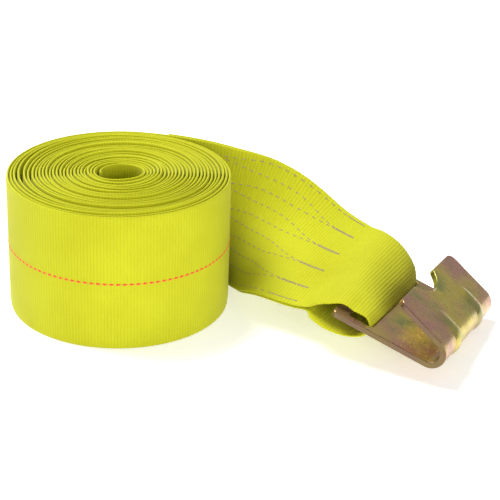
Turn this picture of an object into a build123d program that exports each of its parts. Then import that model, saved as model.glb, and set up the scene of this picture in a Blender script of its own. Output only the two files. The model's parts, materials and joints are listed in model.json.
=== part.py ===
from build123d import *
import math
import os

os.makedirs("parts", exist_ok=True)

# ------------------------------------------------------------------ driving dimensions (mm)
web_width = 101.6
web_thick = 2.3
sew_gap = 0.1

roll_radius = 80.0
core_radius = 12.0
peel_angle = 78.0
peel_clearance = 0.4

tracer_width = 1.4
tracer_proud = 0.3
tracer_start = 100.0
tracer_arc = 300.0

plate_thick = 4.5
plate_length = 73.5
bend_radius = 7.0
bend_angle = 160.0
flange_length = 39.5
corner_radius = 7.0
crossbar_width = 10.0
slot_length = 19.5
slot_clearance = 1.2
side_strip = 5.5
notch_radius = 24.0
notch_depth = 11.5
notch_offset = 5.0
notch_corner = 5.0
slot_corner = 3.0
plate_corner = 3.5
rib_width = 14.0
rib_spread = 27.0
rib_height = 1.4
rib_reach = 17.0
rib_return = 5.0
rib_root = 1.0
rib_step = 0.03
edge_round = 0.7

hook_heading = -23.5
hook_tilt = -6.5
hook_slope = 16.5
hook_reach = 163.3
hook_forward = -62.0
hook_height = 18.2

stitch_legs = 10
stitch_width = 1.3
stitch_proud = 0.5
stitch_margin = 4.0
stitch_leg_gap = 2.2
stitch_parting = 0.15
stitch_meeting = 0.72
stitch_first = 1.6
stitch_last = 5.88

# Row frame: Z is the axis of the roll, the floor is Z = 0, the lead leaves towards +X.
# Hook frame: x runs down the plate to the bend, y is square to the plate, z is along the crossbar.
hook_plane = Plane(
    Location((roll_radius + hook_reach, hook_forward, hook_height))
    * Rotation(0, 0, hook_heading)
    * Rotation(hook_tilt, 0, 0)
    * Rotation(0, hook_slope, 0)
    * Plane.XZ.location
)
slot_width = web_width + 2 * slot_clearance
hook_width = slot_width + 2 * side_strip
crossbar_x = crossbar_width / 2 - plate_length
crossbar_y = -bend_radius - plate_thick / 2

# Low and high selvedge of the lead at stations from the roll towards the hook, each as
# angle round the roll, distance out from its skin and height.
lead_edges = [
    ((51.0, 5.0, 0.8), (51.1, 6.1, 102.3)),
    ((32.8, 4.2, 0.8), (29.2, 26.6, 99.3)),
    ((3.1, 4.3, 8.0), (20.7, 60.0, 85.8)),
    ((-15.8, 22.9, 21.5), (12.5, 89.0, 63.5)),
]

# Near and far selvedge of the loop at stations round the crossbar, as x and y from the
# crossbar's middle and z along it; the first is where the stitching ends.
eye_edges = [
    ((-32.0, -16.7, 40.0), (-28.5, 24.8, -53.0)),
    ((-18.5, -1.7, 46.0), (-16.5, 26.3, -51.5)),
    ((-6.5, 6.8, 50.0), (-4.5, 25.8, -50.0)),
    ((4.5, 8.8, 50.5), (7.0, 20.8, -50.5)),
    ((16.0, 6.8, 50.8), (16.0, 12.3, -50.8)),
    ((21.5, 0.3, 50.8), (20.0, 1.3, -50.8)),
    ((19.0, -7.7, 50.8), (18.5, -6.2, -50.8)),
    ((8.5, -14.2, 50.5), (9.0, -9.1, -50.5)),
    ((-5.5, -16.9, 50.0), (-5.5, -8.3, -50.0)),
    ((-19.5, -17.3, 46.0), (-17.5, 4.3, -51.5)),
]


# ------------------------------------------------------------------ webbing helpers
def beside_roll(angle, gap, height):
    return Vector(roll_radius + gap, 0, height).rotate(Axis.Z, angle)


def on_roll(angle):
    """Station that stands on the outside of the roll."""
    gap = peel_clearance + web_thick / 2
    return beside_roll(angle, gap, 0), beside_roll(angle, gap, web_width)


def round_crossbar(x, y, z):
    return hook_plane.from_local_coords(Vector(crossbar_x + x, crossbar_y + y, z))


def cut_to_width(low, high):
    """The same station with its selvedges exactly one web width apart."""
    half = (high - low).normalized() * (web_width / 2)
    middle = (low + high) * 0.5
    return middle - half, middle + half


def through(values, position):
    """Smooth curve through evenly numbered vectors; position counts them from 0."""
    index = min(int(position), len(values) - 2)
    u = position - index
    start, end = values[index], values[index + 1]
    before = values[index - 1] if index > 0 else start * 2 - end
    after = values[index + 2] if index + 2 < len(values) else end * 2 - start
    return (
        start * (2 * u**3 - 3 * u**2 + 1)
        + (end - before) * 0.5 * (u**3 - 2 * u**2 + u)
        + end * (3 * u**2 - 2 * u**3)
        + (after - start) * 0.5 * (u**3 - u**2)
    )


def web_plane(stations, position, across=0.0, lift=0.0):
    """Plane square to the webbing: x runs across it and y points out of its upper face."""
    step = 0.02
    middles = [(low + high) * 0.5 for low, high in stations]
    x_dir = through([(high - low).normalized() for low, high in stations], position).normalized()
    along = through(middles, position + step) - through(middles, position - step)
    z_dir = (along - x_dir * along.dot(x_dir)).normalized()
    y_dir = z_dir.cross(x_dir)
    origin = through(middles, position) + x_dir * across + y_dir * lift
    return Plane(origin=origin, x_dir=x_dir, z_dir=z_dir)


def positions(first, last, count):
    return [first + (last - first) * index / (count - 1) for index in range(count)]


ply_pitch = web_thick + sew_gap
eye_stations = [cut_to_width(round_crossbar(*low), round_crossbar(*high)) for low, high in eye_edges]
lead_path = [on_roll(peel_angle + 25.0), on_roll(peel_angle)]
for low, high in lead_edges:
    foot = beside_roll(*low)
    lead_path.append((foot, foot + (beside_roll(*high) - foot).normalized() * web_width))
lead_path += eye_stations[:2]
peel_station = 1
sewn_station = len(lead_path) - 2
lead_positions = positions(peel_station, sewn_station, 16)

below = web_plane(lead_path, sewn_station).y_dir * -ply_pitch
before, sewn_end, after = lead_path[sewn_station - 1 : sewn_station + 2]
return_end = tuple(edge + below for edge in sewn_end)
beyond = tuple(eye_stations[-1][side] + before[side] - after[side] for side in (0, 1))
eye_path = [before] + eye_stations + [return_end, beyond]
eye_last = len(eye_path) - 2


# ------------------------------------------------------------------ roll of webbing
with BuildPart() as webbing_coil:
    with BuildSketch():
        Circle(roll_radius)
        Circle(core_radius, mode=Mode.SUBTRACT)
    extrude(amount=web_width)
webbing_coil.part.label = "webbing_coil"
export_step(webbing_coil.part, "parts/webbing_coil.step")


# ------------------------------------------------------------------ coloured yarn woven along the middle
with BuildPart() as tracer_yarn:
    with BuildSketch(Plane.XZ.rotated((0, 0, tracer_start))):
        with Locations((roll_radius, web_width / 2)):
            Rectangle(2 * tracer_proud, tracer_width)
    revolve(axis=Axis.Z, revolution_arc=tracer_arc)
tracer_yarn.part.label = "tracer_yarn"
export_step(tracer_yarn.part, "parts/tracer_yarn.step")


# ------------------------------------------------------------------ upper ply, roll to sewing's end
with BuildPart() as webbing_lead:
    for position in lead_positions:
        with BuildSketch(web_plane(lead_path, position)):
            Rectangle(web_width, web_thick)
    loft()
webbing_lead.part.label = "webbing_lead"
export_step(webbing_lead.part, "parts/webbing_lead.step")


# ------------------------------------------------------------------ lower ply, sewn under the lead
with BuildPart() as webbing_tail:
    for position in lead_positions[1:]:
        with BuildSketch(web_plane(lead_path, position, lift=-ply_pitch)):
            Rectangle(web_width, web_thick)
    loft()
webbing_tail.part.label = "webbing_tail"
export_step(webbing_tail.part, "parts/webbing_tail.step")


# ------------------------------------------------------------------ loop round the hook's crossbar
with BuildPart() as webbing_eye:
    for position in positions(1, eye_last, 31):
        with BuildSketch(web_plane(eye_path, position)):
            Rectangle(web_width, web_thick)
    loft()
webbing_eye.part.label = "webbing_eye"
export_step(webbing_eye.part, "parts/webbing_eye.step")


# ------------------------------------------------------------------ long zigzag of sewing thread
def leg_across(leg, share):
    """Where a leg lies across the web; share runs from 0 at the roll's end to 1 at the hook's."""
    spacing = (web_width - 2 * stitch_margin) / (stitch_legs - 1)
    middle = (stitch_legs - 1) / 2 - leg
    partner = -1 if leg % 2 == 0 else 1
    if share > 0.5:
        partner = -partner
    has_partner = 0 <= leg - partner < stitch_legs
    from_middle = abs(share - 0.5) * 2
    closing = (from_middle - stitch_parting) / (stitch_meeting - stitch_parting)
    closing = min(1.0, max(0.0, closing))
    shift = partner * (spacing - stitch_leg_gap) / 2 * closing if has_partner else 0.0
    return middle * spacing + shift


for leg in range(stitch_legs):
    with BuildPart() as stitch:
        for share in positions(0.0, 1.0, 13):
            position = stitch_first + (stitch_last - stitch_first) * share
            across = leg_across(leg, share)
            with BuildSketch(web_plane(lead_path, position, across, web_thick / 2)):
                Rectangle(stitch_width, 2 * stitch_proud)
        loft(ruled=True)
    stitch.part.label = f"stitch_leg_{leg + 1:02d}"
    export_step(stitch.part, f"parts/stitch_leg_{leg + 1:02d}.step")


# ------------------------------------------------------------------ flat hook, one bent plate
outer_radius = bend_radius + plate_thick
flange_dir = Vector(1, 0).rotate(Axis.Z, bend_angle)
flange_out = Vector(1, 0).rotate(Axis.Z, bend_angle - 90)
plate_end = -plate_length
half_width = hook_width / 2


def hook_point(x, y, z=0.0):
    return hook_plane.from_local_coords(Vector(x, y, z))


def hook_direction(direction):
    return hook_point(direction.X, direction.Y, direction.Z) - hook_point(0, 0, 0)


tip = flange_out * outer_radius + flange_dir * flange_length
flange_plane = Plane(
    origin=hook_point(tip.X, tip.Y), x_dir=hook_direction(flange_dir), z_dir=hook_direction(flange_out)
)
plate_plane = Plane(
    origin=hook_point(plate_end, -bend_radius), x_dir=hook_plane.x_dir, z_dir=hook_plane.y_dir
)

# A rib is a shallow arch pressed outward over the bend. Each end is a dome set a hair inside it.
end_radius = rib_width / 2 - rib_step
end_height = rib_height - rib_step
dome_radius = (end_radius**2 + end_height**2) / (2 * end_height)
end_shoulder = math.sqrt(dome_radius**2 - (end_radius / 2) ** 2) - dome_radius + end_height


def rib_plane(turn, side, along=0.0):
    """Plane across a rib; turn goes back round the bend, along goes up the flange."""
    out = flange_out.rotate(Axis.Z, -turn)
    run = flange_dir.rotate(Axis.Z, -turn)
    foot = out * outer_radius + run * along
    return Plane(
        origin=hook_point(foot.X, foot.Y, side * rib_spread),
        x_dir=hook_plane.z_dir,
        z_dir=hook_direction(run),
    )


with BuildPart() as flat_hook:
    with BuildSketch(hook_plane):
        with BuildLine():
            Line((0, -bend_radius), (plate_end, -bend_radius))
            Line((plate_end, -bend_radius), (plate_end, -outer_radius))
            Line((plate_end, -outer_radius), (0, -outer_radius))
            CenterArc((0, 0), outer_radius, -90, bend_angle)
            outside = flange_out * outer_radius
            inside = flange_out * bend_radius
            Line(outside, outside + flange_dir * flange_length)
            Line(outside + flange_dir * flange_length, inside + flange_dir * flange_length)
            Line(inside + flange_dir * flange_length, inside)
            CenterArc((0, 0), bend_radius, -90, bend_angle)
        make_face()
    extrude(amount=half_width, both=True)

    with BuildSketch(plate_plane):
        with Locations((crossbar_width + slot_length / 2, 0)):
            RectangleRounded(slot_length, slot_width, slot_corner)
    extrude(amount=plate_thick * 2, both=True, mode=Mode.SUBTRACT)

    with BuildSketch(flange_plane):
        with Locations((notch_radius - notch_depth, notch_offset)):
            Circle(notch_radius)
    extrude(amount=plate_thick * 2, both=True, mode=Mode.SUBTRACT)

    flange_corners = flat_hook.edges().filter_by(Axis(flange_plane.origin, flange_plane.z_dir))
    flange_corners = flange_corners.sort_by(Axis(flange_plane.origin, flange_plane.y_dir))
    fillet([flange_corners[0], flange_corners[-1]], corner_radius)
    notch_corners = flat_hook.edges().filter_by(Axis(flange_plane.origin, flange_plane.z_dir))
    notch_corners = notch_corners.sort_by_distance(flange_plane.origin)[:2]
    fillet(notch_corners, notch_corner)
    plate_corners = flat_hook.edges().filter_by(Axis(plate_plane.origin, plate_plane.z_dir))
    plate_corners = plate_corners.sort_by(Axis(plate_plane.origin, plate_plane.x_dir))[:2]
    fillet(plate_corners, plate_corner)
    fillet(flat_hook.edges(), edge_round)

    for side in (-1, 1):
        for turn, length in ((0, rib_reach - rib_width / 2), (bend_angle, -rib_return)):
            with BuildSketch(rib_plane(turn, side)) as rib_section:
                with BuildLine():
                    ThreePointArc((-rib_width / 2, 0), (0, rib_height), (rib_width / 2, 0))
                    Line((rib_width / 2, 0), (rib_width / 2, -rib_root))
                    Line((rib_width / 2, -rib_root), (-rib_width / 2, -rib_root))
                    Line((-rib_width / 2, -rib_root), (-rib_width / 2, 0))
                make_face()
            extrude(amount=length)
            end = rib_plane(turn, side, length)
            with BuildSketch(end) as half_section:
                with BuildLine():
                    ThreePointArc((0, end_height), (end_radius / 2, end_shoulder), (end_radius, 0))
                    Polyline((end_radius, 0), (end_radius, -rib_root), (0, -rib_root), (0, end_height))
                make_face()
            revolve(half_section.sketch, Axis(end.origin, end.y_dir), 360)
        revolve(rib_section.sketch, Axis(hook_point(0, 0), hook_plane.z_dir), bend_angle)
flat_hook.part.label = "flat_hook"
export_step(flat_hook.part, "parts/flat_hook.step")
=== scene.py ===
import json
import math

import bpy
import numpy as np
from mathutils import Matrix, Vector


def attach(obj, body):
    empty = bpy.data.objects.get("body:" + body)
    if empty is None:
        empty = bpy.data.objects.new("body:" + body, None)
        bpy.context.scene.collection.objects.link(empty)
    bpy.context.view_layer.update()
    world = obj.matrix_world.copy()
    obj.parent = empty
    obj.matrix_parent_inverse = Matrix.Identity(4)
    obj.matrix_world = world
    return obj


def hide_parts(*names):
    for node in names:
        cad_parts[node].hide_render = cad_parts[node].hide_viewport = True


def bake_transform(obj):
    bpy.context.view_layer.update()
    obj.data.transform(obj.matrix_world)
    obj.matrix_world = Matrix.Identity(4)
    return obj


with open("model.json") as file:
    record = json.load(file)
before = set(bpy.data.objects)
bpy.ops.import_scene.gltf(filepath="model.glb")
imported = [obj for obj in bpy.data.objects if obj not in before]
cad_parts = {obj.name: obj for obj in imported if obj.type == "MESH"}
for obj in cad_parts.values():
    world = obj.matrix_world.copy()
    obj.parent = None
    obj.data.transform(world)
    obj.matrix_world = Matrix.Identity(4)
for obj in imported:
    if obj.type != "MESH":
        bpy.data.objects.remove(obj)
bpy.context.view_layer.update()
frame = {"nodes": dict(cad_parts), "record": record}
record = frame["record"]
joints = {joint["name"]: joint for joint in record["behaviour"]["joints"]}


# ---------------------------------------------------------------- roll of webbing
# Polyester webbing woven 4 in wide, with a ribbed face and a rounded selvedge on each side.
# It is wound by hand into one spiral that stands on edge; the turns lie unevenly, a few are
# loose, and the inner end curls free in the open core.

WEB_WIDTH = 0.1016
WEB_THICK = 0.0023
RIB_PITCH = 0.0023
SELVEDGE = 0.0042
SELVEDGE_THIN = 0.72
WARP_PITCH = 0.0012
# The first colour is the webbing in light and the second the same webbing in shade; blending towards the
# second paints shade.
WEB_LIT = (0.515, 0.535, 0.014)
WEB_SHADED = (0.43, 0.43, 0.008)
# Painted shade: the colour of the webbing deep in the grooves of the weave, and how far the grooves are
# darkened towards it.
WEB_GROOVE_SHADED = (0.29, 0.22, 0.002)
GROOVE_SHADE = 0.27
WARP_SLANT = 1.1
BLOTCHES = 26.0
FLECKS = 1100.0
WEAVE_RELIEF = 0.0002
SELVEDGE_ROUND = (62.0, 35.0, 0.0, -35.0, -62.0)
ROLL_RIB_DEPTH = 0.00006
ROLL_SCALLOP = 0.00005

TURNS = 26
CORE = 0.0132
TURN_GAP = 0.00002
LOOSE_TURNS = ((22, 2.0, 1.3), (20, 1.5, 1.1), (12, 1.3, 0.4), (7, 1.2, 0.4), (4, 0.9, 0.3))
INNER_END = math.radians(250)
OUTER_END = math.radians(42)
CORE_OVAL = 0.13
OVAL_HEADING = 0.15
OVAL_FADES = 16.0
INNER_CURL = 0.0030
INNER_CURL_FADES = 0.45
USUAL_LIFT = 0.0008
LIFT_WAVE = 0.00035
MOST_LIFT = 0.0022
LIFT_RATES = (0.17, 0.31, 0.83, 1.21, 2.1, 0.5)
LEVEL_TURNS = 1.2
FINE_TURNS = 1.15


def new_shader(name, roughness, metallic=0.0):
    shader = bpy.data.materials.new(name)
    shader.use_nodes = True
    surface = shader.node_tree.nodes["Principled BSDF"]
    surface.inputs["Roughness"].default_value = roughness
    surface.inputs["Metallic"].default_value = metallic
    return shader, surface


def feed(tree, socket, value):
    """Link an output into a socket, or set the socket to a number or a colour."""
    if isinstance(value, bpy.types.NodeSocket):
        tree.links.new(value, socket)
    elif isinstance(value, tuple) and len(value) == 3 and len(socket.default_value) == 4:
        socket.default_value = (*value, 1.0)
    else:
        socket.default_value = value


def maths(tree, operation, *values):
    node = tree.nodes.new("ShaderNodeMath")
    node.operation = operation
    for socket, value in zip(node.inputs, values):
        feed(tree, socket, value)
    return node.outputs[0]


def blend_colours(tree, share, low, high):
    node = tree.nodes.new("ShaderNodeMix")
    node.data_type = "RGBA"
    feed(tree, node.inputs[0], share)
    feed(tree, node.inputs[6], low)
    feed(tree, node.inputs[7], high)
    return node.outputs[2]


def mottle(tree, scale, detail=3.0, low=0.35, high=0.65):
    """Soft noise over the object, stretched so that it runs from 0 to 1."""
    place = tree.nodes.new("ShaderNodeTexCoord").outputs["Object"]
    node = tree.nodes.new("ShaderNodeTexNoise")
    feed(tree, node.inputs["Vector"], place)
    node.inputs["Scale"].default_value = scale
    node.inputs["Detail"].default_value = detail
    spread = tree.nodes.new("ShaderNodeMapRange")
    feed(tree, spread.inputs[0], node.outputs["Fac"])
    spread.inputs[1].default_value = low
    spread.inputs[2].default_value = high
    return spread.outputs[0]


def webbing_shader():
    """Woven rib face: the UV map holds metres, u across the webbing and v along it."""
    shader, surface = new_shader("yellow_webbing", 0.8)
    tree = shader.node_tree
    place = tree.nodes.new("ShaderNodeSeparateXYZ")
    feed(tree, place.inputs[0], tree.nodes.new("ShaderNodeUVMap").outputs["UV"])
    rib_turn = maths(tree, "MULTIPLY", place.outputs[1], 2 * math.pi / RIB_PITCH)
    rib = maths(tree, "MULTIPLY_ADD", maths(tree, "COSINE", rib_turn), 0.5, 0.5)
    warp_turn = maths(tree, "MULTIPLY", place.outputs[0], 2 * math.pi / WARP_PITCH)
    slant = maths(tree, "MULTIPLY", maths(tree, "SINE", rib_turn), WARP_SLANT)
    warp = maths(tree, "COSINE", maths(tree, "ADD", warp_turn, slant))
    warp = maths(tree, "MULTIPLY_ADD", warp, 0.5, 0.5)
    height = maths(tree, "MULTIPLY_ADD", warp, 0.3, maths(tree, "MULTIPLY", rib, 0.7))

    # Painted shade, scattered at random: blotches and flecks blend the lit colour with the shaded one.
    tone = maths(tree, "MULTIPLY_ADD", mottle(tree, BLOTCHES), 0.45, 0.35)
    tone = maths(tree, "MULTIPLY_ADD", mottle(tree, FLECKS, 1.0), 0.2, tone)
    cloth = blend_colours(tree, tone, WEB_SHADED, WEB_LIT)
    # Painted shade: the low parts of the weave are darkened towards the groove colour, standing in for the
    # shade between the ribs.
    groove_shade_share = maths(tree, "POWER", maths(tree, "SUBTRACT", 1.0, height), 1.7)
    cloth = blend_colours(tree, maths(tree, "MULTIPLY", groove_shade_share, GROOVE_SHADE), cloth, WEB_GROOVE_SHADED)
    feed(tree, surface.inputs["Base Color"], cloth)

    bump = tree.nodes.new("ShaderNodeBump")
    bump.inputs["Strength"].default_value = 0.5
    bump.inputs["Distance"].default_value = WEAVE_RELIEF
    feed(tree, bump.inputs["Height"], height)
    feed(tree, surface.inputs["Normal"], bump.outputs["Normal"])
    surface.inputs["Specular IOR Level"].default_value = 0.15
    surface.inputs["Sheen Weight"].default_value = 0.06
    surface.inputs["Sheen Roughness"].default_value = 0.5
    return shader


def unit(vectors):
    return vectors / np.linalg.norm(vectors, axis=-1, keepdims=True)


def web_frame(grid):
    """Directions along the webbing, across it and out of its upper face, for every point."""
    run = np.gradient(grid, axis=0)
    side = unit(np.gradient(grid, axis=1))
    face = unit(np.cross(run, side))
    return unit(run), side, face


def web_columns(count):
    """Where points lie across the webbing: one on each edge, the rest between the selvedges."""
    flat = WEB_WIDTH / 2 - WEB_THICK / 2
    body = flat - SELVEDGE
    return np.concatenate([[-flat], np.linspace(-body, body, count - 2), [flat]])


def smooth_mesh(name, vertices, faces, flat_faces=()):
    mesh = bpy.data.meshes.new(name)
    mesh.from_pydata(vertices.tolist(), [], [list(face) for face in (*faces, *flat_faces)])
    mesh.polygons.foreach_set("use_smooth", [True] * len(faces) + [False] * len(flat_faces))
    mesh.update()
    piece = bpy.data.objects.new(name, mesh)
    bpy.context.scene.collection.objects.link(piece)
    return piece


def woven(name, grid, along, rib_depth, scallop):
    """Closed webbing about its middle surface: rows of points across it, one per step along."""
    rows, columns = grid.shape[:2]
    run, side, face = web_frame(grid)
    hollow = 0.5 - 0.5 * np.cos(2 * np.pi * along / RIB_PITCH)
    body = np.ones(columns)
    body[[0, -1]] = SELVEDGE_THIN
    half = (WEB_THICK / 2 - rib_depth * hollow)[:, None, None] * body[None, :, None]
    reach = (WEB_THICK / 2 - scallop * hollow)[:, None, None]
    turn = np.radians(SELVEDGE_ROUND)[None, :, None]
    right = grid[:, -1:] + side[:, -1:] * reach * np.cos(turn) + face[:, -1:] * half[:, -1:] * np.sin(turn)
    left = grid[:, :1] - side[:, :1] * reach * np.cos(turn) - face[:, :1] * half[:, :1] * np.sin(turn)
    shell = np.concatenate([grid + face * half, right, (grid - face * half)[:, ::-1], left], axis=1)

    points = shell.shape[1]
    ring = np.arange(points)
    first = np.arange(rows - 1)[:, None] * points + ring
    beside = np.arange(rows - 1)[:, None] * points + np.roll(ring, -1)
    sides = np.stack([first, first + points, beside + points, beside], axis=-1).reshape(-1, 4)
    cuts = [ring.tolist(), (ring[::-1] + (rows - 1) * points).tolist()]
    piece = smooth_mesh(name, shell.reshape(-1, 3), sides.tolist(), cuts)

    spread = web_columns(columns)
    edge = np.full(len(SELVEDGE_ROUND), WEB_WIDTH / 2)
    across = np.concatenate([spread, edge, spread[::-1], -edge])
    cloth = np.stack(np.broadcast_arrays(across[None, :], along[:, None]), axis=-1).reshape(-1, 2)
    corner = np.zeros(len(piece.data.loops), dtype=np.int32)
    piece.data.loops.foreach_get("vertex_index", corner)
    piece.data.uv_layers.new(name="UVMap").data.foreach_set("uv", cloth[corner].ravel())
    piece.data.materials.append(webbing)
    return piece


webbing = webbing_shader()
peel_point = Vector(joints["strap_peel"]["pos_m"])
peel_angle = math.atan2(peel_point.y, peel_point.x)
skin = math.hypot(peel_point.x, peel_point.y)

chance = np.random.default_rng(11)
looseness = chance.normal(0.0, 0.6, TURNS)
lopsided = chance.uniform(0.1, 0.7, TURNS)
loose_side = chance.normal(math.pi, 0.8, TURNS)
for turn, loose, one_sided in LOOSE_TURNS:
    looseness[turn], lopsided[turn], loose_side[turn] = loose, one_sided, math.pi
lift_phase = chance.uniform(0, 2 * math.pi, len(LIFT_RATES))


def spiral_point(turned):
    """Middle of the webbing in the roll; turned counts clockwise from the peel, core first."""
    around = np.mod(turned, 2 * np.pi)
    angle = peel_angle - around
    whole = np.clip(np.floor(turned / (2 * np.pi)).astype(int), 0, TURNS - 1)
    part = turned / (2 * np.pi) - whole
    bias = np.exp(looseness[:, None] + lopsided[:, None] * np.cos(angle - loose_side[:, None]))
    tight = WEB_THICK + TURN_GAP
    gaps = tight + bias / bias.sum(axis=0) * (skin - CORE - TURNS * tight)
    inside = np.concatenate([np.zeros((1, len(angle))), np.cumsum(gaps, axis=0)])
    pick = np.arange(len(angle))
    radius = CORE + inside[whole, pick] + part * gaps[whole, pick]
    oval = CORE_OVAL * np.exp(-turned / OVAL_FADES)
    radius = radius * (1 + oval * np.cos(2 * (angle - OVAL_HEADING)))
    radius = radius - INNER_CURL * np.exp(-(turned - INNER_END) / INNER_CURL_FADES)
    waves = sum(np.sin(turned * rate + phase) for rate, phase in zip(LIFT_RATES, lift_phase))
    inside_outer = np.clip((2 * np.pi * (TURNS - LEVEL_TURNS) - turned) / (2 * np.pi), 0, 1)
    lift = np.clip(USUAL_LIFT + LIFT_WAVE * waves, 0, MOST_LIFT) * inside_outer
    return np.stack([radius * np.cos(angle), radius * np.sin(angle), lift], axis=-1)


def spiral_rows(turned, columns):
    middle = spiral_point(turned) + np.array([0, 0, WEB_WIDTH / 2])
    return middle[:, None] + web_columns(columns)[None, :, None] * np.array([0, 0, 1.0])


def walked(points):
    """Distance along a line of points, starting at 0."""
    return np.concatenate([[0.0], np.cumsum(np.linalg.norm(np.diff(points, axis=0), axis=1))])


turned = np.linspace(INNER_END, 2 * np.pi * TURNS - OUTER_END, 90001)
travel = walked(spiral_point(turned))
outer_start = np.interp(2 * np.pi * (TURNS - FINE_TURNS), turned, travel)
coarse = np.arange(0, outer_start, RIB_PITCH / 2)
fine = np.arange(coarse[-1] + RIB_PITCH / 2, travel[-1], RIB_PITCH / 6)
roll_along = np.concatenate([coarse, fine])
roll_turned = np.interp(roll_along, travel, turned)
roll = woven("roll_webbing", spiral_rows(roll_turned, 5), roll_along, ROLL_RIB_DEPTH, ROLL_SCALLOP)
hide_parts("webbing_coil")
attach(roll, "roll")


# ---------------------------------------------------------------- strap end
# The last stretch of the same webbing: it leaves the back of the roll, twists to lie flat,
# goes round the hook's crossbar and comes back under itself, sewn ply to ply.

SEW_GAP = 0.0001
PEEL_GAP = 0.0004
STRAP_COLUMNS = 25
STRAP_RIB_DEPTH = 0.00015
STRAP_SCALLOP = 0.00016
TAIL_STATION = 1 + 1 / 3

# The near edge dips where it crosses the bar: mm past the bar, mm of dip.
CURL_WIDTH = 0.024
CURL = ((-30, 0), (-18.5, 3.2), (-11, 3.6), (-4, 2.0), (2, 1.8), (7, 3.0), (12, 2.0), (17, 0.4), (22, 0))
CURLED_LENGTH = 0.062
BAR_CLEAR = 0.0071

# How far each row is softened, and where the blend across the peel starts and ends.
SOFTENED = 0.0016
SOFTEN_ROWS = 12

# Low and high selvedge beside the roll: degrees round it, mm out from its skin, mm up.
LEAD_EDGES = (
    ((51.0, 5.0, 0.8), (51.1, 6.1, 102.3)),
    ((32.8, 4.2, 0.8), (29.2, 26.6, 99.3)),
    ((3.1, 4.3, 8.0), (20.7, 60.0, 85.8)),
    ((-15.8, 22.9, 21.5), (12.5, 89.0, 63.5)),
)

# Near and far selvedge round the bar, in mm: down the plate, out of it, along the bar.
LOOP_EDGES = (
    ((-32.0, -16.7, 40.0), (-28.5, 24.8, -53.0)),
    ((-18.5, -1.7, 46.0), (-16.5, 26.3, -51.5)),
    ((-6.5, 6.8, 50.0), (-4.5, 25.8, -50.0)),
    ((4.5, 8.8, 50.5), (7.0, 20.8, -50.5)),
    ((17.0, 6.8, 50.8), (17.2, 12.3, -50.8)),
    ((22.6, 0.3, 50.8), (22.2, 1.3, -50.8)),
    ((20.0, -7.7, 50.8), (19.8, -6.2, -50.8)),
    ((8.5, -14.2, 50.5), (9.0, -9.1, -50.5)),
    ((-5.5, -16.9, 50.0), (-5.5, -8.3, -50.0)),
    ((-19.5, -17.3, 46.0), (-17.5, 4.3, -51.5)),
)

mouth = next(mount for mount in record["mounts"] if mount["name"] == "hook_mouth")
down_plate = -Vector(mouth["axis"])
along_bar = Vector(joints["hook_swing"]["axis"])
out_of_plate = along_bar.cross(down_plate)
crossbar = Vector(joints["hook_swing"]["pos_m"])


def beside_roll(angle, gap, height):
    reach = skin - WEB_THICK / 2 - PEEL_GAP + gap / 1000
    angle = math.radians(angle)
    return np.array([reach * math.cos(angle), reach * math.sin(angle), height / 1000])


def round_crossbar(x, y, z):
    return np.array(crossbar + (down_plate * x + out_of_plate * y + along_bar * z) / 1000)


def station(low, high, hold):
    """Two selvedges exactly one web width apart; hold is the share of the slack on the low side."""
    spare = unit(high - low) * (np.linalg.norm(high - low) - WEB_WIDTH)
    return np.stack([low + spare * hold, high - spare * (1 - hold)])


def through(values, position):
    """Smooth curve through evenly numbered values; position counts them from 0."""
    values = np.concatenate([2 * values[:1] - values[1:2], values, 2 * values[-1:] - values[-2:-1]])
    index = np.clip(position.astype(int), 0, len(values) - 4)
    u = (position - index)[:, None, None]
    before, start, end, after = (values[index + step] for step in range(4))
    return (
        start * (2 * u**3 - 3 * u**2 + 1)
        + (end - before) * 0.5 * (u**3 - 2 * u**2 + u)
        + end * (3 * u**2 - 2 * u**3)
        + (after - start) * 0.5 * (u**3 - u**2)
    )


def strap_rows(stations, first, last, count=400):
    """Middle surface of the webbing between two numbered stations."""
    edges = through(np.array(stations), np.linspace(first, last, count))
    middle = edges.mean(axis=1)
    across = unit(edges[:, 1] - edges[:, 0])
    return middle[:, None] + web_columns(STRAP_COLUMNS)[None, :, None] * across[:, None]


def peel_station(angle):
    out = 1000 * (WEB_THICK / 2 + PEEL_GAP)
    return np.stack([beside_roll(angle, out, 0), beside_roll(angle, out, 1000 * WEB_WIDTH)])


loop_stations = [station(round_crossbar(*low), round_crossbar(*high), 0.5) for low, high in LOOP_EDGES]
lead_stations = [peel_station(math.degrees(peel_angle) + 25), peel_station(math.degrees(peel_angle))]
lead_stations += [station(beside_roll(*low), beside_roll(*high), 0.0) for low, high in LEAD_EDGES]
lead_stations += loop_stations[:2]
sewn = len(lead_stations) - 2

lead = strap_rows(lead_stations, 1, sewn)
ply = WEB_THICK + SEW_GAP
under = lead - ply * web_frame(lead)[2]
sewn_end = np.stack([under[-1, 0], under[-1, -1]])
return_end = station(sewn_end[0], sewn_end[1], 0.5)
beyond = loop_stations[-1] + lead_stations[sewn - 1] - lead_stations[sewn + 1]
loop_route = [lead_stations[sewn - 1], *loop_stations, return_end, beyond]
loop = strap_rows(loop_route, 1, len(loop_stations) + 1, 700)
tail = under[::-1]
tail_share = (TAIL_STATION - 1) / (sewn - 1)
tail = tail[: int(round(len(tail) * (1 - tail_share)))]
last_of_roll = np.linspace(2 * np.pi * TURNS - OUTER_END, 2 * np.pi * TURNS, 60)
leaving = spiral_rows(last_of_roll, STRAP_COLUMNS)

rough = np.concatenate([leaving[:-1], lead, loop[1:], tail[1:]])
middle_column = STRAP_COLUMNS // 2
distance = walked(rough[:, middle_column])
strap_step = RIB_PITCH / 6
strap_along = np.arange(0, distance[-1], strap_step)
lines = rough.reshape(len(rough), -1).T
strap = np.stack([np.interp(strap_along, distance, line) for line in lines], axis=-1)
strap = strap.reshape(-1, STRAP_COLUMNS, 3)

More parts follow.
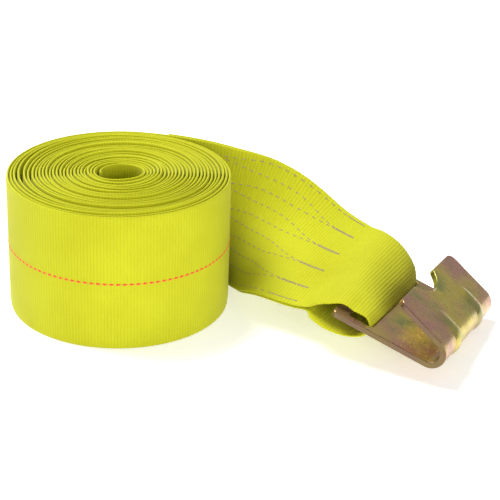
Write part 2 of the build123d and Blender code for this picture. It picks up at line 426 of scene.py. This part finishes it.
# Each row is softened with its neighbours, so the stations leave no crease.
shifts = np.arange(-SOFTEN_ROWS, SOFTEN_ROWS + 1)
weights = np.exp(-((shifts * strap_step / SOFTENED) ** 2) / 2)
weights /= weights.sum()
before_strap = 2 * strap[:1] - strap[SOFTEN_ROWS:0:-1]
after_strap = 2 * strap[-1:] - strap[-2 : -2 - SOFTEN_ROWS : -1]
longer = np.concatenate([before_strap, strap, after_strap])
starts = SOFTEN_ROWS + shifts
strap = sum(weight * longer[start : start + len(strap)] for start, weight in zip(starts, weights))
peels = distance[len(leaving) - 1]
lead_ends = distance[len(leaving) + len(lead) - 2]

# The near edge dips as it crosses the bar, but stays outside the circle the bar's corners sweep.
past_bar_at, drop = np.array(CURL, dtype=float).T / 1000
past_bar = (strap - np.array(crossbar)) @ np.array(down_plate)
upper_ply = strap_along < lead_ends + CURLED_LENGTH
edge = np.clip((-web_columns(STRAP_COLUMNS) - WEB_WIDTH / 2 + CURL_WIDTH) / CURL_WIDTH, 0, 1) ** 2
curl = np.interp(past_bar, past_bar_at, drop) * edge * upper_ply[:, None]
strap = strap - curl[..., None] * np.array(out_of_plate)
from_bar = strap - np.array(crossbar)
from_bar -= (from_bar @ np.array(along_bar))[..., None] * np.array(along_bar)
off_bar = np.linalg.norm(from_bar, axis=-1, keepdims=True)
strap = strap + from_bar / off_bar * np.maximum(BAR_CLEAR - off_bar, 0)

strap_end = woven(
    "strap_end_webbing", strap, strap_along + roll_along[-1], STRAP_RIB_DEPTH, STRAP_SCALLOP
)
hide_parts("webbing_lead", "webbing_tail", "webbing_eye")
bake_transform(strap_end)


# ---------------------------------------------------------------- coloured tracer yarn
# One red yarn floats over every second rib in the middle of the webbing's outward face, so
# it shows as a row of lens-shaped dashes joined by a thin sunken line.

DASH_PITCH = 2 * RIB_PITCH
DASH_LENGTH = 0.0036
DASH_WIDTH = 0.0017
DASH_PROUD = 0.00035
YARN_RED = (0.80, 0.045, 0.004)
YARN_ORANGE = (0.66, 0.15, 0.008)
YARN_TWIST = 0.0006
YARN_RELIEF = 0.0001
FIRST_DASH = 0.0012
STRAP_FIRST_DASH = 0.0022
STRAP_LAST_DASH = 0.004
SUNKEN_WIDTH = 0.0005
SUNKEN_PROUD = 0.00022
SUNKEN_DEEPER = 0.0001
SUNKEN_UNDER_DASH = 0.001
OUTER_TURN = 0.508
TO_NEXT_ROW = 0.002


def yarn_shader(name, colour, worn_and_shaded, twist_pitch, roughness):
    shader, surface = new_shader(name, roughness)
    tree = shader.node_tree
    tone = maths(tree, "MULTIPLY", mottle(tree, 420.0), 0.35)
    feed(tree, surface.inputs["Base Color"], blend_colours(tree, tone, colour, worn_and_shaded))
    bump = tree.nodes.new("ShaderNodeBump")
    bump.inputs["Strength"].default_value = 0.5
    bump.inputs["Distance"].default_value = YARN_RELIEF
    feed(tree, bump.inputs["Height"], mottle(tree, 1 / twist_pitch, 1.0))
    feed(tree, surface.inputs["Normal"], bump.outputs["Normal"])
    surface.inputs["Sheen Weight"].default_value = 0.1
    return shader


def threads(name, centres, runs, faces, length, width, proud, shader, rings=7, points=8):
    """Short lens-shaped floats of yarn, each lying on a face and sinking in at both ends."""
    share = np.linspace(-1, 1, rings)
    girth = np.sqrt(np.maximum(1 - np.abs(share) ** 3, 0.02))
    turn = np.linspace(0, 2 * np.pi, points, endpoint=False)
    sides = np.cross(faces, runs)
    shape = np.stack([
        np.broadcast_to((share * length / 2)[:, None], (rings, points)),
        girth[:, None] * np.cos(turn)[None] * width / 2,
        girth[:, None] * np.sin(turn)[None] * proud - (share**2 * proud * 0.7)[:, None],
    ], axis=-1)
    axes = np.stack([runs, sides, faces], axis=1)
    vertices = centres[:, None, None] + np.einsum("rpk,nkx->nrpx", shape, axes)
    ring = np.arange(points)
    first = np.arange(rings - 1)[:, None] * points + ring
    beside = np.arange(rings - 1)[:, None] * points + np.roll(ring, -1)
    quads = np.stack([first, beside, beside + points, first + points], axis=-1).reshape(-1, 4)
    size = rings * points
    start = (np.arange(len(centres)) * size)[:, None, None]
    sides_of_all = (quads[None] + start).reshape(-1, 4).tolist()
    caps = np.concatenate([(ring[::-1] + start[:, 0]), (ring + size - points + start[:, 0])]).tolist()
    piece = smooth_mesh(name, vertices.reshape(-1, 3), sides_of_all + caps)
    piece.data.materials.append(shader)
    return piece


def on_strap(distance_along, across):
    """Middle surface of the strap end at a distance along it and across it, with its frame."""
    run, side, face = web_frame(strap)
    row = distance_along / strap_step
    column = np.interp(across, web_columns(STRAP_COLUMNS), np.arange(STRAP_COLUMNS))
    row_0 = np.clip(row.astype(int), 0, len(strap) - 2)
    column_0 = np.clip(column.astype(int), 0, STRAP_COLUMNS - 2)
    r, c = (row - row_0)[:, None], (column - column_0)[:, None]

    def pick(values):
        near = values[row_0, column_0] * (1 - c) + values[row_0, column_0 + 1] * c
        far = values[row_0 + 1, column_0] * (1 - c) + values[row_0 + 1, column_0 + 1] * c
        return near * (1 - r) + far * r

    return pick(strap), unit(pick(run)), unit(pick(face))


red_yarn = yarn_shader("red_tracer_yarn", YARN_RED, YARN_ORANGE, YARN_TWIST, 0.7)
# The sunken yarn's blotches take in the webbing's shaded colour, which is painted shade.
orange_yarn = yarn_shader("sunken_tracer_yarn", YARN_ORANGE, WEB_SHADED, YARN_TWIST, 0.8)


def tracer(name, centres, runs, faces):
    """Dashes of tracer yarn and the thin sunken stretches between them."""
    out = -faces
    skin_points = centres + out * (WEB_THICK / 2 - ROLL_RIB_DEPTH * 0.3)
    dashes = threads(name, skin_points, runs, out, DASH_LENGTH, DASH_WIDTH, DASH_PROUD, red_yarn)
    between = skin_points + runs * DASH_PITCH / 2 - out * SUNKEN_DEEPER
    length = DASH_PITCH - DASH_LENGTH + SUNKEN_UNDER_DASH
    sizes = (length, SUNKEN_WIDTH, SUNKEN_PROUD)
    links = threads(name + "_sunken", between, runs, out, *sizes, orange_yarn, rings=5, points=6)
    return dashes, links


outer_along = np.arange(travel[-1] - FIRST_DASH, travel[-1] - OUTER_TURN, -DASH_PITCH)[::-1]
outer_turned = np.interp(outer_along, travel, turned)
around_dash = np.stack([outer_turned - TO_NEXT_ROW, outer_turned, outer_turned + TO_NEXT_ROW], 1)
outer_grid = spiral_rows(around_dash.ravel(), 5)[:, 2]
outer_centres = outer_grid[1::3]
outer_runs = unit(outer_grid[2::3] - outer_grid[0::3])
outer_faces = np.cross(outer_runs, np.array([0.0, 0.0, 1.0]))
roll_dashes, roll_links = tracer("roll_tracer", outer_centres, outer_runs, outer_faces)
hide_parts("tracer_yarn")
for piece in (roll_dashes, roll_links):
    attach(piece, "roll")

strap_distance = np.arange(STRAP_FIRST_DASH, distance[-1] - STRAP_LAST_DASH, DASH_PITCH)
along_middle = on_strap(strap_distance, np.zeros(len(strap_distance)))
strap_dashes, strap_links = tracer("strap_tracer", *along_middle)
for piece in (strap_dashes, strap_links):
    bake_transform(piece)


# ---------------------------------------------------------------- sewing
# Grey polyester thread, sewn through both plies by machine as one long zigzag of ten legs.
# Neighbouring legs close up towards each end, and the stitches crowd together where they turn.

LEGS = 10
LEG_MARGIN = 0.0040
LEG_GAP = 0.0009
LEGS_PART = 0.15
LEGS_MEET = 0.72
STITCH_PITCH = 0.0058
STITCH_LENGTH = 0.0043
STITCH_WIDTH = 0.0007
STITCH_PROUD = 0.00035
CROWDED = 0.018
THREAD_GREY = (0.27, 0.20, 0.145)
THREAD_WORN = (0.38, 0.33, 0.12)
THREAD_TWIST = 0.0009
SEWN_FROM_PEEL = 0.030
SEWN_TO_EYE = 0.004
STAGGER = 0.0012
STEP_AHEAD = 0.01

thread = yarn_shader("grey_sewing_thread", THREAD_GREY, THREAD_WORN, THREAD_TWIST, 0.6)
first_stitch = peels + SEWN_FROM_PEEL
last_stitch = lead_ends - SEWN_TO_EYE
sewn_length = last_stitch - first_stitch


def leg_across(leg, share):
    """Where a leg lies across the webbing; share runs from 0 at the roll to 1 at the hook."""
    spacing = (WEB_WIDTH - 2 * LEG_MARGIN) / (LEGS - 1)
    partner = np.where(share < 0.5, -1, 1) * (1 if leg % 2 else -1)
    has_partner = (leg + partner >= 0) & (leg + partner < LEGS)
    closing = np.clip((np.abs(2 * share - 1) - LEGS_PART) / (LEGS_MEET - LEGS_PART), 0, 1)
    closing = closing * closing * (3 - 2 * closing) * has_partner
    towards_partner = partner * closing * (0.5 - LEG_GAP / spacing / 2)
    return ((LEGS - 1) / 2 - leg - towards_partner) * spacing


stitch_centres, stitch_runs, stitch_faces = [], [], []
for leg in range(LEGS):
    long_run = np.arange(first_stitch + STAGGER * (leg % 3), last_stitch, STITCH_PITCH)
    crowded = np.arange(last_stitch - CROWDED, last_stitch, STITCH_PITCH / 2)
    crowded_at_roll = crowded - sewn_length + CROWDED
    places = np.concatenate([long_run, crowded, crowded_at_roll])
    share = (places - first_stitch) / sewn_length
    centre, _, face = on_strap(places, leg_across(leg, share))
    ahead = on_strap(places + STEP_AHEAD * sewn_length, leg_across(leg, share + STEP_AHEAD))[0]
    stitch_centres.append(centre)
    stitch_runs.append(unit(ahead - centre))
    stitch_faces.append(face)
centres, runs, faces = map(np.concatenate, (stitch_centres, stitch_runs, stitch_faces))
faces = unit(faces - runs * (faces * runs).sum(axis=1, keepdims=True))
top_side = centres + faces * (WEB_THICK / 2 - STRAP_RIB_DEPTH * 0.5)
under_side = centres - faces * (ply + WEB_THICK / 2 - STRAP_RIB_DEPTH * 0.5)
stitch_sizes = (STITCH_LENGTH, STITCH_WIDTH, STITCH_PROUD)
upper = threads("upper_stitches", top_side, runs, faces, *stitch_sizes, thread)
lower = threads("lower_stitches", under_side, runs, -faces, *stitch_sizes, thread)
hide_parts(*(f"stitch_leg_{leg + 1:02d}" for leg in range(LEGS)))
for piece in (upper, lower):
    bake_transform(piece)


# ---------------------------------------------------------------- flat hook
# Bent from one pressed steel plate, zinc plated and yellow passivated: olive gold on the
# broad faces, pink towards the edges, with greenish patches; the cut edges are darker.

GOLD = (0.56, 0.45, 0.085)
PINK = (0.50, 0.26, 0.19)
GREEN = (0.22, 0.27, 0.09)
CUT_EDGE = (0.085, 0.066, 0.034)
PINK_PATCHES = 34.0
GREEN_PATCHES = 52.0
WORN_PATCHES = 160.0
PITTING = 210.0
PIT_DEPTH = 0.0003
PINK_STARTS = 0.026
PINK_FULL = 0.060
EDGE_STARTS = 0.55
EDGE_FULL = 0.85


def plated_shader():
    shader, surface = new_shader("yellow_passivated_zinc", 0.36, 0.85)
    tree = shader.node_tree
    geometry = tree.nodes.new("ShaderNodeNewGeometry")

    def along(direction, vector):
        node = tree.nodes.new("ShaderNodeVectorMath")
        node.operation = "DOT_PRODUCT"
        feed(tree, node.inputs[0], vector)
        node.inputs[1].default_value = direction
        return node.outputs["Value"]

    place = tree.nodes.new("ShaderNodeTexCoord").outputs["Object"]
    from_middle = maths(tree, "SUBTRACT", along(along_bar, place), along_bar.dot(crossbar))
    to_edge = tree.nodes.new("ShaderNodeMapRange")
    feed(tree, to_edge.inputs[0], maths(tree, "ABSOLUTE", from_middle))
    to_edge.inputs[1].default_value = PINK_STARTS
    to_edge.inputs[2].default_value = PINK_FULL
    pink = maths(tree, "MULTIPLY_ADD", mottle(tree, PINK_PATCHES, 4.0), 1.0, -0.35)
    pink = maths(tree, "ADD", pink, maths(tree, "MULTIPLY", to_edge.outputs[0], 0.85))
    pink = maths(tree, "MINIMUM", maths(tree, "MAXIMUM", pink, 0.0), 1.0)
    tint = blend_colours(tree, pink, GOLD, PINK)
    green = maths(tree, "MULTIPLY", mottle(tree, GREEN_PATCHES, 4.0, 0.5, 0.7), 0.8)
    green = maths(tree, "MULTIPLY", green, maths(tree, "SUBTRACT", 1.0, to_edge.outputs[0]))
    tint = blend_colours(tree, green, tint, GREEN)
    cut = maths(tree, "ABSOLUTE", along(along_bar, geometry.outputs["Normal"]))
    cut_edge = tree.nodes.new("ShaderNodeMapRange")
    feed(tree, cut_edge.inputs[0], cut)
    cut_edge.inputs[1].default_value = EDGE_STARTS
    cut_edge.inputs[2].default_value = EDGE_FULL
    tint = blend_colours(tree, maths(tree, "MULTIPLY", cut_edge.outputs[0], 0.8), tint, CUT_EDGE)
    feed(tree, surface.inputs["Base Color"], tint)

    rough = maths(tree, "MULTIPLY_ADD", mottle(tree, WORN_PATCHES, 5.0), 0.16, 0.2)
    feed(tree, surface.inputs["Roughness"], rough)
    bump = tree.nodes.new("ShaderNodeBump")
    bump.inputs["Strength"].default_value = 0.15
    bump.inputs["Distance"].default_value = PIT_DEPTH
    feed(tree, bump.inputs["Height"], mottle(tree, PITTING, 5.0))
    feed(tree, surface.inputs["Normal"], bump.outputs["Normal"])
    return shader


plated = plated_shader()
hook = frame["nodes"]["flat_hook"]
hook = bpy.data.objects[hook] if isinstance(hook, str) else hook
for socket in hook.material_slots:
    socket.material = plated


# ---------------------------------------------------------------- floor, light and camera
# A plain pale floor under soft light from large panels, seen from the front and above.

FLOOR_REACH = 3.0
FLOOR_DROP = 0.0002
PAPER_WHITE = (0.94, 0.94, 0.94)
PAPER_GLOW = 0.38
UNDER_ROLL = 0.07
WORLD_LIGHT = 0.40
PANELS = (
    ("front_panel", (0.8, -1.7, 0.42), 0.7, 20.5),
    ("left_panel", (-1.5, -0.9, 0.5), 0.5, 2.0),
    ("top_panel", (-0.6, 0.4, 1.6), 0.8, 38.0),
)

floor_corners = FLOOR_REACH * np.array([(-1, -1, 0), (1, -1, 0), (1, 1, 0), (-1, 1, 0)])
floor = smooth_mesh("floor", floor_corners, [(0, 1, 2, 3)])
floor.location.z = -FLOOR_DROP
paper, paper_surface = new_shader("pale_paper", 0.9)
paper_surface.inputs["Base Color"].default_value = (*PAPER_WHITE, 1)
paper_surface.inputs["Emission Color"].default_value = (1, 1, 1, 1)
tree = paper.node_tree
from_roll = tree.nodes.new("ShaderNodeVectorMath")
from_roll.operation = "LENGTH"
feed(tree, from_roll.inputs[0], tree.nodes.new("ShaderNodeTexCoord").outputs["Object"])
clear_of_roll = maths(tree, "GREATER_THAN", from_roll.outputs["Value"], UNDER_ROLL)
glow = maths(tree, "MULTIPLY", clear_of_roll, PAPER_GLOW)
feed(tree, paper_surface.inputs["Emission Strength"], glow)
floor.data.materials.append(paper)

world = bpy.data.worlds.new("studio")
world.use_nodes = True
world.node_tree.nodes["Background"].inputs["Color"].default_value = (1, 1, 1, 1)
world.node_tree.nodes["Background"].inputs["Strength"].default_value = WORLD_LIGHT
bpy.context.scene.world = world

aim = Vector((0.09, 0.0, 0.04))
for name, place, size, power in PANELS:
    panel = bpy.data.lights.new(name, "AREA")
    panel.shape = "SQUARE"
    panel.size = size
    panel.energy = power
    lamp = bpy.data.objects.new(name, panel)
    lamp.location = place
    lamp.rotation_euler = (aim - Vector(place)).to_track_quat("-Z", "Y").to_euler()
    bpy.context.scene.collection.objects.link(lamp)

CAMERA_PLACE = Vector((0.0961, -1.0, 0.5196))
CAMERA_DOWN = math.radians(25.51)
CAMERA_ROLL = math.radians(2.07)
CAMERA_LENS = 107.6
back = Vector((0, -math.cos(CAMERA_DOWN), math.sin(CAMERA_DOWN)))
right = Vector((1, 0, 0))
up = back.cross(right)
right, up = (
    right * math.cos(CAMERA_ROLL) + up * math.sin(CAMERA_ROLL),
    up * math.cos(CAMERA_ROLL) - right * math.sin(CAMERA_ROLL),
)
camera = bpy.data.objects.new("camera", bpy.data.cameras.new("camera"))
camera.data.lens = CAMERA_LENS
camera.data.sensor_width = 36.0
turn = Matrix((right, up, back)).transposed().to_4x4()
camera.matrix_world = Matrix.Translation(CAMERA_PLACE) @ turn
bpy.context.scene.collection.objects.link(camera)
bpy.context.scene.camera = camera
bpy.context.scene.view_settings.view_transform = "Standard"
